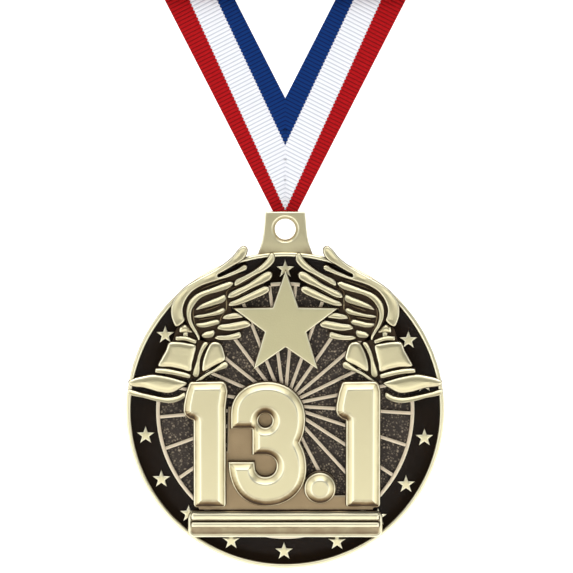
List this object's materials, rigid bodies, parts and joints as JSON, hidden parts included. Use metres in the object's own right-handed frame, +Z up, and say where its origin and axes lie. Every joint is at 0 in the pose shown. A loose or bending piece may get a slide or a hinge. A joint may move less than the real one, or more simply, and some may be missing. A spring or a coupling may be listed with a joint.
{
  "type": "finisher medal",
  "caption": "Round cast finisher medal with winged running shoes, a star and race-distance figures, hung by a pierced tab from a striped neck ribbon.",
  "frame": {"origin": "the point that holds the folded ribbon up, at the top of the ribbon's tie, in the plane of the ribbon", "axes": "+Z up along the hanging medal, the medal's face looks along -Y, +X to the viewer's right when facing the medal"},
  "size_m": [0.0762, 0.0108, 0.1522],
  "materials": {
    "antique_gold": "polished antique gold plating with dark patina in the recesses",
    "satin_gold": "satin antique gold plating",
    "patina": "brown patina",
    "pebbled_field": "sandblasted, dark patina",
    "ray_metal": "matt, rose-brown patina",
    "enamel": "glossy black-brown hard enamel",
    "ribbon_red": "woven grosgrain",
    "ribbon_blue": "woven grosgrain",
    "ribbon_white": "woven grosgrain"
  },
  "bodies": {
    "ribbon": {"ribbon_strap_left": "ribbon_red", "ribbon_strap_right": "ribbon_blue", "ribbon_loop": "ribbon_white", "ribbon_bundle": "ribbon_red", "ribbon_tie": "ribbon_white"},
    "medal": {"base_disc": "antique_gold", "hanger_tab": "antique_gold", "ribbon_bar": "antique_gold", "outer_rim": "antique_gold", "inner_ring": "antique_gold", "band_star_01": "antique_gold", "band_star_02": "antique_gold", "band_star_03": "antique_gold", "band_star_04": "antique_gold", "band_star_05": "antique_gold", "band_star_06": "antique_gold", "band_star_07": "antique_gold", "band_star_08": "antique_gold", "band_star_09": "antique_gold", "band_star_10": "antique_gold", "band_star_11": "antique_gold", "band_star_12": "antique_gold", "band_star_13": "antique_gold", "enamel_band": "enamel", "center_field": "pebbled_field", "ray_burst": "ray_metal", "big_star": "satin_gold", "number_plaque": "patina", "digit_one_left": "antique_gold", "digit_three": "antique_gold", "decimal_point": "antique_gold", "digit_one_right": "antique_gold", "plinth_base": "antique_gold", "plinth_rib_upper": "antique_gold", "plinth_rib_lower": "antique_gold", "wing_leading_left": "antique_gold", "wing_arc_left": "antique_gold", "wing_coverts_left": "antique_gold", "wing_primaries_left": "antique_gold", "shoe_collar_left": "antique_gold", "shoe_upper_left": "antique_gold", "shoe_strap_left": "antique_gold", "shoe_heel_left": "antique_gold", "shoe_heel_wedge_left": "antique_gold", "shoe_instep_left": "antique_gold", "shoe_toe_left": "antique_gold", "shoe_sole_left": "antique_gold", "wing_leading_right": "antique_gold", "wing_arc_right": "antique_gold", "wing_coverts_right": "antique_gold", "wing_primaries_right": "antique_gold", "shoe_collar_right": "antique_gold", "shoe_upper_right": "antique_gold", "shoe_strap_right": "antique_gold", "shoe_heel_right": "antique_gold", "shoe_heel_wedge_right": "antique_gold", "shoe_instep_right": "antique_gold", "shoe_toe_right": "antique_gold", "shoe_sole_right": "antique_gold"}
  },
  "joints": [
    {"name": "medal_swing", "type": "hinge", "parent": "ribbon", "child": "medal", "pos_m": [0, 0, -0.0672], "axis": [1, 0, 0], "range_deg": [-20, 70]}
  ]
}
